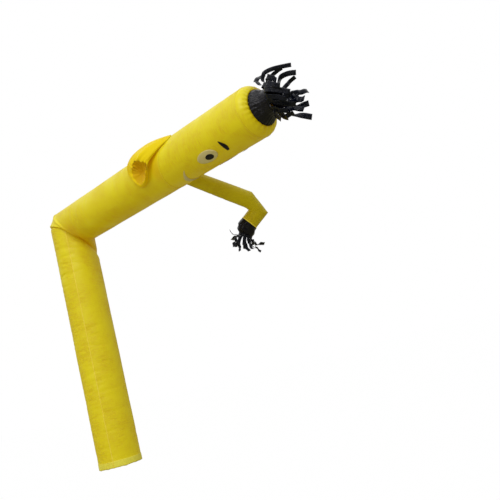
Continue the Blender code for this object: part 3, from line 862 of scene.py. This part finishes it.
shoulder = seam_round(
    "shoulder", sleeve_grid[1], sleeve_ways[1], 0.012, 0.0020, yellow_bright, ((0.0, 0.0020),))
stand_in(far_sleeve, "far_sleeve", "yellow_nylon", flat=(0.53, 1.0), held="stretched",
         rests_on=["leg_and_trunk"], with_pieces=shoulder)

# Near sleeve: the same sleeve on the near side, sewn on in the same way. It has crumpled up on itself into a
# puffed stub, whose end is drawn in to a tight mouth of pleats.

yellow_crumpled = cloth_material(
    "yellow_nylon_crumpled", (0.74, 0.61, 0.004), (0.68, 0.52, 0.0), (0.46, 0.255, 0.0), 0.5, 0.08, 0.10,
    EVERY_WAY, 0.0022)
# ahead, up: the seam on the trunk, in metres along it and degrees round it; rise: how steeply the cloth
# starts there; lip_ahead, lip_up, lip_out: the edge where it turns in; puff: how fully it rounds over to it
Stub = namedtuple("Stub", "ahead up rise lip_ahead lip_up lip_out puff")
STUB_ROWS = [
    Stub(1.795, -2.0, 0.030, 1.803, -0.057, 0.285, 0.030),
    Stub(1.830, 12.0, 0.005, 1.832, -0.022, 0.284, 0.022),
    Stub(1.960, 26.0, 0.000, 1.840, 0.004, 0.292, 0.025),
    Stub(2.080, 42.0, 0.005, 1.815, 0.033, 0.306, 0.050),
    Stub(2.060, 62.0, 0.030, 1.754, 0.065, 0.330, 0.092),
    Stub(1.820, 76.0, 0.110, 1.677, 0.077, 0.310, 0.100),
    Stub(1.600, 68.0, 0.130, 1.618, 0.065, 0.285, 0.070),
    Stub(1.490, 42.0, 0.080, 1.575, 0.038, 0.262, 0.030),
    Stub(1.490, 12.0, 0.030, 1.573, -0.017, 0.252, 0.015),
    Stub(1.545, -12.0, 0.020, 1.619, -0.096, 0.255, 0.015),
    Stub(1.610, -36.0, 0.020, 1.672, -0.131, 0.262, 0.025),
    Stub(1.720, -29.0, 0.025, 1.752, -0.115, 0.275, 0.030),
]
POCKET = KNEE + np.array((1.700, -0.243, -0.030))
STUB_SIDES = 144
DOME_RINGS = 40
POCKET_RINGS = 14
STUB_PLEAT = 0.036
DOME_PLEAT = 0.008
RIM_FOLD = 0.024


def on_trunk(ahead, down, radius):
    """Points round the trunk: down is in degrees from the near side towards straight down."""
    a = np.radians(down)
    return KNEE + np.stack((ahead + 0 * a, -radius * np.cos(a), -radius * np.sin(a)), axis=-1)


def round_loop(rows, turns):
    """A smooth closed loop through the rows at the given turns, from 0 to 1."""
    known = np.array(rows)
    count = len(known)
    place = turns * count
    first = np.floor(place).astype(int)
    t = (place - first)[:, None]
    p, q, r, s = (known[(first + k) % count] for k in (-1, 0, 1, 2))
    return 0.5 * (2 * q + (r - p) * t + (2 * p - 5 * q + 4 * r - s) * t ** 2
                  + (3 * q - p - 3 * r + s) * t ** 3)


stub_angles = np.arange(STUB_SIDES) * 2 * pi / STUB_SIDES
loop = round_loop(STUB_ROWS, np.arange(STUB_SIDES) / STUB_SIDES)
stub_clear = TUBE_RADIUS * FULL_GIRTH + 0.0025
stub_root = on_trunk(loop[:, 0], -loop[:, 1], stub_clear)
stub_risen = on_trunk(loop[:, 0], -loop[:, 1], stub_clear + loop[:, 2])
stub_lip = KNEE + np.stack((loop[:, 3], -loop[:, 5], loop[:, 4]), axis=1)
lip_ways = stub_lip - POCKET
lip_ways[:, 1] = 0
lip_ways /= np.linalg.norm(lip_ways, axis=1, keepdims=True)
stub_rounded = stub_lip + lip_ways * loop[:, 6:]
t = np.linspace(0, 1, DOME_RINGS)[:, None, None]
stub_grid = (stub_root * (1 - t) ** 3 + stub_risen * 3 * t * (1 - t) ** 2
             + stub_rounded * 3 * t ** 2 * (1 - t) + stub_lip * t ** 3)
inside = []
for share in np.linspace(0, 1, POCKET_RINGS + 2)[1:-1]:
    ring = POCKET + (stub_lip - POCKET) * (1 - 0.94 * share)
    depth = np.sin(share ** 0.8 * pi / 2)
    ring[:, 1] = stub_lip[:, 1] + (POCKET[1] - stub_lip[:, 1]) * depth
    inside.append(ring)
stub_grid = np.concatenate((stub_grid, np.array(inside)))
stub_level = np.concatenate((t[:, 0, 0], np.full(POCKET_RINGS, 1.0)))
fade = np.concatenate((np.ones(DOME_RINGS), np.linspace(1, 0.2, POCKET_RINGS)))
knee_side = np.clip(-np.cos(stub_angles + 0.5), 0, 1) ** 0.8
stub_pleats = pleats(stub_angles, 12, 15) * (0.10 + 0.90 * knee_side) * STUB_PLEAT
dome_pleats = pleats(stub_angles, 19, 9) * DOME_PLEAT
taper = (stub_level ** 4 * fade)[:, None]
stub_moved = stub_pleats[None, :] * taper + dome_pleats[None, :] * np.sqrt(taper)
stub_grid += outward(stub_grid) * stub_moved[:, :, None]
rim = bell(np.arange(len(stub_grid)) - DOME_RINGS + 1, 5.0)
rim_folds = -np.abs(pleats(stub_angles, 23, 13)) ** 0.6 * knee_side * RIM_FOLD
stub_grid += rim[:, None, None] * rim_folds[None, :, None] * lip_ways[None, :, :]
stub_ways = outward(stub_grid)
# Painted shade in the stub: none on the dome, more over the rim, and most down in the pocket that the dome
# shades
pocket_painted_shade = np.concatenate((
    np.zeros(DOME_RINGS - 4), np.linspace(0.1, 0.5, 4), np.linspace(0.75, 1.0, POCKET_RINGS)))
stub_painted_shade = np.repeat(pocket_painted_shade[:, None], STUB_SIDES, axis=1) * 0.9
near_sleeve = cloth_piece(
    "near_sleeve_cloth", stub_grid, [yellow_crumpled], tip=POCKET, painted_shade=stub_painted_shade, lining=yellow_inside)
stub_edge = seam_round("stub", stub_grid[1], stub_ways[1], 0.010, 0.0014, yellow_nylon, ((0.0, 0.0018),))
stand_in(near_sleeve, "near_sleeve", "yellow_nylon", flat=(1.0, 0.36), held="gathered",
         rests_on=["leg_and_trunk"], with_pieces=stub_edge)

# Face: oval eyes and a crescent smile of tan cloth, with pupils and brows of black nylon, each cut out and
# stitched flat to the head along its edge. The far half mirrors the near one.

black_nylon = cloth_material(
    "black_nylon_cloth", (0.005, 0.004, 0.008), (0.010, 0.010, 0.016), (0.002, 0.002, 0.003), 0.20, 0.18, 0.0,
    (22.0, 9.0, 14.0), 0.003, 0.0014)
tan_cloth = cloth_material(
    "tan_cloth", (0.72, 0.62, 0.33), (0.64, 0.54, 0.25), (0.46, 0.36, 0.14), 0.65, 0.2, 0.0,
    EVERY_WAY, 0.0008, 0.0022)
black_thread = cloth_material(
    "black_thread", (0.012, 0.012, 0.016), (0.03, 0.03, 0.036), (0.004, 0.004, 0.004), 0.55, 0.3, 0.0,
    EVERY_WAY, 0.0002, 0.0008, "Object")
tan_thread = cloth_material(
    "tan_thread", (0.66, 0.56, 0.28), (0.56, 0.46, 0.20), (0.40, 0.30, 0.12), 0.65, 0.2, 0.0,
    EVERY_WAY, 0.0002, 0.0008, "Object")
THREADS = {black_nylon: black_thread, tan_cloth: tan_thread}

# ahead: along the trunk; down: degrees round the tube from the near side; long: half length in metres;
# wide: half width in degrees
Oval = namedtuple("Oval", "ahead down long wide")
EYE = Oval(2.472, 54.5, 0.118, 16.0)
PUPIL = Oval(2.490, 57.0, 0.047, 7.5)
PATCH = 0.0012
PATCH_SIDES = 64
BAND_STEPS = 7
BAND_INSET = 0.08
STITCH_INSET = 0.006
FACE_MIDDLE = 90.0
skin_radius = TUBE_RADIUS * 1.002 + 2 * GAP + PATCH
top_radius = skin_radius + PATCH + GAP


def on_side(down, side):
    """The same place on the near half of the face or, mirrored, on the far half."""
    return 2 * FACE_MIDDLE - down if side == "far" else down


def finish_patch(patch, slot, name, flat, under, area, edge, thread):
    """Sew a patch down along its edge and show it in place of its part."""
    stitches = stitch_rows(name + "_stitches", [edge], thread, pitch=0.006)
    stand_in(patch, name.replace("_patch", ""), slot, flat=flat, held="laid", rests_on=[under], area=area,
             with_pieces=[stitches])


def oval_patch(name, material, slot, oval, side, radius, under):
    """An oval of cloth lying on the head."""
    down = on_side(oval.down, side)
    turns = np.arange(PATCH_SIDES) * 2 * pi / PATCH_SIDES
    sizes = np.append(np.linspace(1, 0.05, 10), 0.02)[:, None]
    long_way = oval.long * np.cos(turns)
    wide_way = oval.wide * np.sin(turns)
    grid = on_trunk(oval.ahead + sizes * long_way, down + sizes * wide_way, radius)
    patch = cloth_piece(name, grid, [material], wall=PATCH, tip=on_trunk(oval.ahead, np.array(down), radius))
    span = 2 * radians(oval.wide) * radius
    inset = 1 - STITCH_INSET / oval.long
    edge = on_trunk(oval.ahead + inset * long_way, down + inset * wide_way, radius + ON_SKIN)
    area = pi * oval.long * span / 2
    finish_patch(patch, slot, name, (2 * oval.long, span), under, area, edge, THREADS[material])


def band_patch(name, material, slot, lower, upper, downs, radius, flat, area):
    """A band of cloth on the head between two edges, each given as distance along the trunk."""
    share = np.linspace(0, 1, BAND_STEPS)[None, :]
    ahead = lower[:, None] * (1 - share) + upper[:, None] * share
    grid = on_trunk(ahead, np.repeat(downs[:, None], BAND_STEPS, axis=1), radius)
    patch = cloth_piece(name, grid, [material], wall=PATCH, closed_round=False)
    inset = grid * 1.0
    inset[:, 0] += (grid[:, -1] - grid[:, 0]) * BAND_INSET
    inset[:, -1] -= (grid[:, -1] - grid[:, 0]) * BAND_INSET
    edge = np.concatenate((inset[1:-1, 0], inset[-2:0:-1, -1]))
    edge[:, 1:] = KNEE[1:] + (edge[:, 1:] - KNEE[1:]) * (1 + ON_SKIN / radius)
    finish_patch(patch, slot, name, flat, "head", area, edge, THREADS[material])


t = np.linspace(0, 1, 25)
brow_down = 67.0 - 30.0 * t
brow_lower = 2.680 - 0.006 * t
brow_upper = brow_lower + 0.008 + 0.038 * np.sin(pi * (0.12 + 0.88 * t))
for side in ("near", "far"):
    eye = f"eye_patch_{side}"
    oval_patch(eye, tan_cloth, "tan_patch_cloth", EYE, side, skin_radius, "head")
    oval_patch(f"pupil_patch_{side}", black_nylon, "black_nylon", PUPIL, side, top_radius, eye)
    order = slice(None) if side == "far" else slice(None, None, -1)
    band_patch(f"brow_patch_{side}", black_nylon, "black_nylon", brow_lower[order], brow_upper[order],
               on_side(brow_down, side)[order], skin_radius, (0.12, 0.046), 0.0039)

t = np.linspace(-1, 1, 49)
smile = 2.150 - 0.118 * (1 - t * t)
band_patch("mouth_patch", tan_cloth, "tan_patch_cloth", smile, smile + 0.006 + 0.046 * (1 - t * t),
           FACE_MIDDLE + 37.0 * t, skin_radius, (0.40, 0.055), 0.014)

# Hair: a collar of black nylon gathered into the crown, and past it a ring of the same cloth whose edge is
# slit all round into long ribbons that the air throws about.

black_ribbon = cloth_material(
    "black_nylon_ribbon", (0.003, 0.004, 0.010), (0.007, 0.008, 0.018), (0.002, 0.002, 0.005), 0.16, 0.16,
    0.0, (24.0, 24.0, 24.0), 0.004, 0.0014, "Object")
TUFT_ALONG = 3.225
TUFT_RADIUS = 0.120
BAND = 0.022
COLLAR_FOLD = 0.014
COLLAR_ROWS = [
    Row(1, COLLAR_ALONG, girth=COLLAR_RADIUS / TUBE_RADIUS),
    Row(1, COLLAR_ALONG + 0.03, girth=0.66),
    Row(1, COLLAR_ALONG + 0.06, girth=0.58),
    Row(1, COLLAR_ALONG + 0.09, girth=0.53),
    Row(1, TUFT_ALONG - GAP, girth=TUFT_RADIUS / TUBE_RADIUS),
]
collar_grid = gathered.rings(finer(COLLAR_ROWS, spaced((COLLAR_ALONG, TUFT_ALONG - GAP), (0.004,))))
collar_share = (collar_grid[:, :, 0] - COLLAR_ALONG) / (TUFT_ALONG - COLLAR_ALONG)
collar_pleats = gathers * PLEAT_DEPTH * (1 - collar_share)
collar_pleats += pleats(gathered.angles, 17, 9) * COLLAR_FOLD * collar_share * (1.25 - collar_share)
collar_grid += outward(collar_grid) * collar_pleats[:, :, None]
collar_ways = outward(collar_grid)
collar = cloth_piece("collar_cloth", collar_grid, [black_nylon])
collar_stitches = stitches_round(
    "collar_stitches", collar_grid[1], collar_ways[1], ((0.0, ON_SKIN),), black_thread)
stand_in(collar, "hair_collar", "black_nylon", flat=(1.02, 0.17), held="gathered", rests_on=["crown_cloth"],
         with_pieces=[collar_stitches])

# splay: how far from straight ahead the ribbon leaves the ring, in degrees; launch: how long it keeps to
# that way; ahead, side, up: its tip, from the ring's middle; turn: how far it turns over, in degrees
Strip = namedtuple("Strip", "splay launch ahead side up width turn", defaults=(0,))
HAIR_STRIPS = [
    Strip(133, 0.33, 0.090, 0.208, 0.296, 0.036),
    Strip(135, 0.22, -0.010, 0.211, 0.321, 0.034),
    Strip(110, 0.30, 0.085, 0.254, 0.236, 0.044),
    Strip(112, 0.22, 0.023, 0.319, 0.240, 0.036),
    Strip(72, 0.12, 0.079, 0.359, 0.085, 0.048),
    Strip(14, 0.08, 0.090, 0.190, 0.010, 0.042),
    Strip(10, 0.11, 0.183, 0.120, -0.069, 0.050, -15),
    Strip(36, 0.08, 0.183, 0.163, -0.106, 0.050, -30),
    Strip(13, 0.10, 0.184, 0.070, -0.171, 0.048, -45),
    Strip(34, 0.10, 0.236, 0.068, -0.266, 0.048, -60),
    Strip(60, 0.07, 0.148, -0.027, -0.201, 0.042, 60),
    Strip(64, 0.09, 0.136, -0.104, -0.244, 0.042, 60),
    Strip(79, 0.09, 0.107, -0.159, -0.250, 0.040, 60),
    Strip(76, 0.09, 0.173, -0.134, -0.210, 0.042, 15),
    Strip(78, 0.11, 0.223, -0.077, -0.168, 0.044),
    Strip(81, 0.10, 0.195, -0.148, -0.122, 0.042),
    Strip(78, 0.11, 0.224, -0.113, -0.072, 0.046),
    Strip(85, 0.11, 0.184, -0.162, -0.008, 0.042),
    Strip(64, 0.12, 0.150, -0.140, 0.060, 0.046, -30),
    Strip(150, 0.24, -0.120, 0.092, 0.290, 0.040),
]
STRIP_STEPS = 26
ACROSS = 5
RIBBON = 0.0012
TWIST = 0.25
BOW = 0.008
CUP = 0.004
RING_LEVELS = 4
RING_CRUMPLE = 0.012


def strip_rows(first_row, way, outward_way, middle, up, side, strip, pick):
    """Rows of points across one ribbon, from its root to its tip, with soft kinks along it."""
    root = first_row.mean(axis=0)
    splay = radians(strip.splay)
    launch = root + (way * np.cos(splay) + outward_way * np.sin(splay)) * strip.launch
    tip = middle + way * strip.ahead + side * strip.side + up * strip.up
    wide = unit(first_row[0] - first_row[-1])
    kink = pick.normal(size=3)
    rows = [first_row]
    for i in range(1, STRIP_STEPS + 1):
        t = i / STRIP_STEPS
        point = root * (1 - t) ** 2 + launch * 2 * t * (1 - t) + tip * t * t
        heading = unit((launch - root) * (1 - t) + (tip - launch) * t)
        wide = unit(wide - wide.dot(heading) * heading)
        thin = np.cross(wide, heading)
        turn = radians(strip.turn) * t + TWIST * kink[0] * np.sin(5 * t)
        flat = wide * np.cos(turn) + thin * np.sin(turn)
        face = thin * np.cos(turn) - wide * np.sin(turn)
        bow = BOW * t * (1 - t) * 4 * (kink[1] * np.sin(9 * t) + kink[2] * np.sin(17 * t + 1))
        shares = np.linspace(0.5, -0.5, ACROSS)
        full = strip.width * min(1.0, 0.86 + 3 * t)
        cupped = CUP * np.sin(pi * t) * (4 * shares ** 2 - 0.5)
        rows.append(point + np.outer(shares * full, flat) + np.outer(cupped + bow, face))
    return rows


def build_fringe(name, node, middle, way, up, side, radius, strips, seed, flat, holder):
    """The slit end of a cloth tube: a short ring whose edge is cut into ribbons."""
    pick = np.random.default_rng(seed)
    count = len(strips)
    around = ACROSS - 1
    points = []
    faces = []
    corner_angles = pi / 2 - 2 * pi * (np.arange(count * around) / around - 0.5) / count
    circle = np.outer(np.sin(corner_angles), up) + np.outer(np.cos(corner_angles), side)
    crumple = ripples(corner_angles, (7, 0.3), (11, 2.2), (17, 1.1))
    for level in range(RING_LEVELS):
        swell = 1 + RING_CRUMPLE * level / (RING_LEVELS - 1) * crumple[:, None]
        points.extend(middle - way * BAND * (1 - level / (RING_LEVELS - 1)) + radius * swell * circle)
    total = count * around
    for level in range(RING_LEVELS - 1):
        near = level * total
        far = near + total
        for j in range(total):
            k = (j + 1) % total
            faces.append((near + k, near + j, far + j, far + k))
    rim = (RING_LEVELS - 1) * total
    for j, strip in enumerate(strips):
        indices = [rim + (j * around + k) % total for k in range(ACROSS)]
        first_row = np.array([points[i] for i in indices])
        a = pi / 2 - 2 * pi * j / count
        outward_way = up * np.sin(a) + side * np.cos(a)
        rows = strip_rows(first_row, way, outward_way, middle, up, side, strip, pick)
        previous = indices
        for row in rows[1:]:
            start = len(points)
            points.extend(row)
            following = list(range(start, start + ACROSS))
            for k in range(ACROSS - 1):
                faces.append((previous[k + 1], previous[k], following[k], following[k + 1]))
            previous = following
    mesh = bpy.data.meshes.new(name)
    mesh.from_pydata([tuple(p) for p in points], [], faces)
    mesh.materials.append(black_ribbon)
    mesh.shade_smooth()
    fringe = new_object(name, mesh)
    thicken(fringe, RIBBON, 0.0)
    stand_in(fringe, node, "black_nylon", flat=flat, held="hung", rests_on=[holder])


hair_middle = KNEE + FORWARD * (TUFT_ALONG + BAND)
build_fringe("hair_fringe", "hair_strips", hair_middle, FORWARD, UP, SIDEWAYS, TUFT_RADIUS, HAIR_STRIPS,
             seed=21, flat=(0.76, 0.34), holder="collar_cloth")

# Hand: the black nylon end of the far sleeve, sewn round it with a seam. It is a short crumpled cuff, and
# past it a ring of the same cloth that is slit into finger ribbons.

HAND_WAY = unit(np.array((-0.50, -0.24, -0.83)))
HAND_RADIUS = 0.070
CUFF_LENGTH = 0.125
CUFF_SIDES = 72
CUFF_FOLD = 0.008
CUFF_SWELL = 0.004
CUFF_ROWS = [
    Row(1, 0.04, girth=1.12, push=-0.012),
    Row(1, 0.085, girth=1.08, push=-0.010),
    Row(1, CUFF_LENGTH - GAP, girth=HAND_RADIUS / SLEEVE_RADIUS),
]
wrist = Fold(WRIST, FOREARM_WAY, HAND_WAY, SLEEVE_RADIUS, CUFF_SIDES)
cuff_start = wrist.ring(Row(0, 0.0, girth=1.02))
cuff_rest = wrist.rings(finer(CUFF_ROWS, spaced((0.04, CUFF_LENGTH - GAP), (0.005,))))
cuff_grid = np.concatenate((between(cuff_start, cuff_rest[0], 9), cuff_rest))
cuff_ways = outward(cuff_grid)
cuff_share = np.linspace(0, 1, len(cuff_grid))[:, None]
cuff_middle = np.sin(pi * cuff_share)
cuff_moved = pleats(wrist.angles, 41, 10) * CUFF_FOLD * cuff_middle
cuff_moved += CUFF_SWELL * cuff_middle * np.sin(4 * wrist.angles + 9 * cuff_share)
cuff_grid += cuff_ways * cuff_moved[:, :, None]
cuff = cloth_piece("cuff_cloth", cuff_grid, [black_nylon])
cuff_seam = seam_band("cuff_seam", cuff_start, cuff_ways[0], 0.009, 0.0020, yellow_bright)
cuff_stitches = stitches_round(
    "cuff_stitches", cuff_grid[1], cuff_ways[1], ((0.0, ON_SKIN),), black_thread)
stand_in(cuff, "hand_cuff", "black_nylon", flat=(0.57, 0.13), held="gathered",
         rests_on=["far_sleeve_cloth"], with_pieces=[cuff_seam, cuff_stitches])
HAND_STRIPS = [
    Strip(44, 0.07, 0.005, -0.099, 0.208, 0.034, 70),
    Strip(40, 0.08, 0.093, 0.134, 0.193, 0.024, 60),
    Strip(34, 0.08, 0.093, 0.166, 0.111, 0.034),
    Strip(20, 0.08, 0.122, 0.152, 0.085, 0.036),
    Strip(30, 0.08, 0.150, 0.172, -0.003, 0.030),
    Strip(40, 0.07, 0.125, 0.150, -0.067, 0.038),
    Strip(60, 0.06, -0.012, 0.144, -0.159, 0.022, 50),
    Strip(54, 0.06, 0.072, -0.166, -0.117, 0.034, -40),
    Strip(40, 0.07, 0.128, -0.171, -0.057, 0.034),
    Strip(34, 0.07, 0.119, -0.200, 0.037, 0.034),
    Strip(36, 0.07, 0.078, -0.177, 0.131, 0.034),
    Strip(44, 0.07, 0.030, -0.137, 0.180, 0.034, 40),
]
hand_middle = WRIST + HAND_WAY * (CUFF_LENGTH + BAND)
build_fringe("hand_fringe", "hand_strips", hand_middle, HAND_WAY, wrist.inner[1], wrist.side, HAND_RADIUS,
             HAND_STRIPS, seed=22, flat=(0.44, 0.20), holder="cuff_cloth")
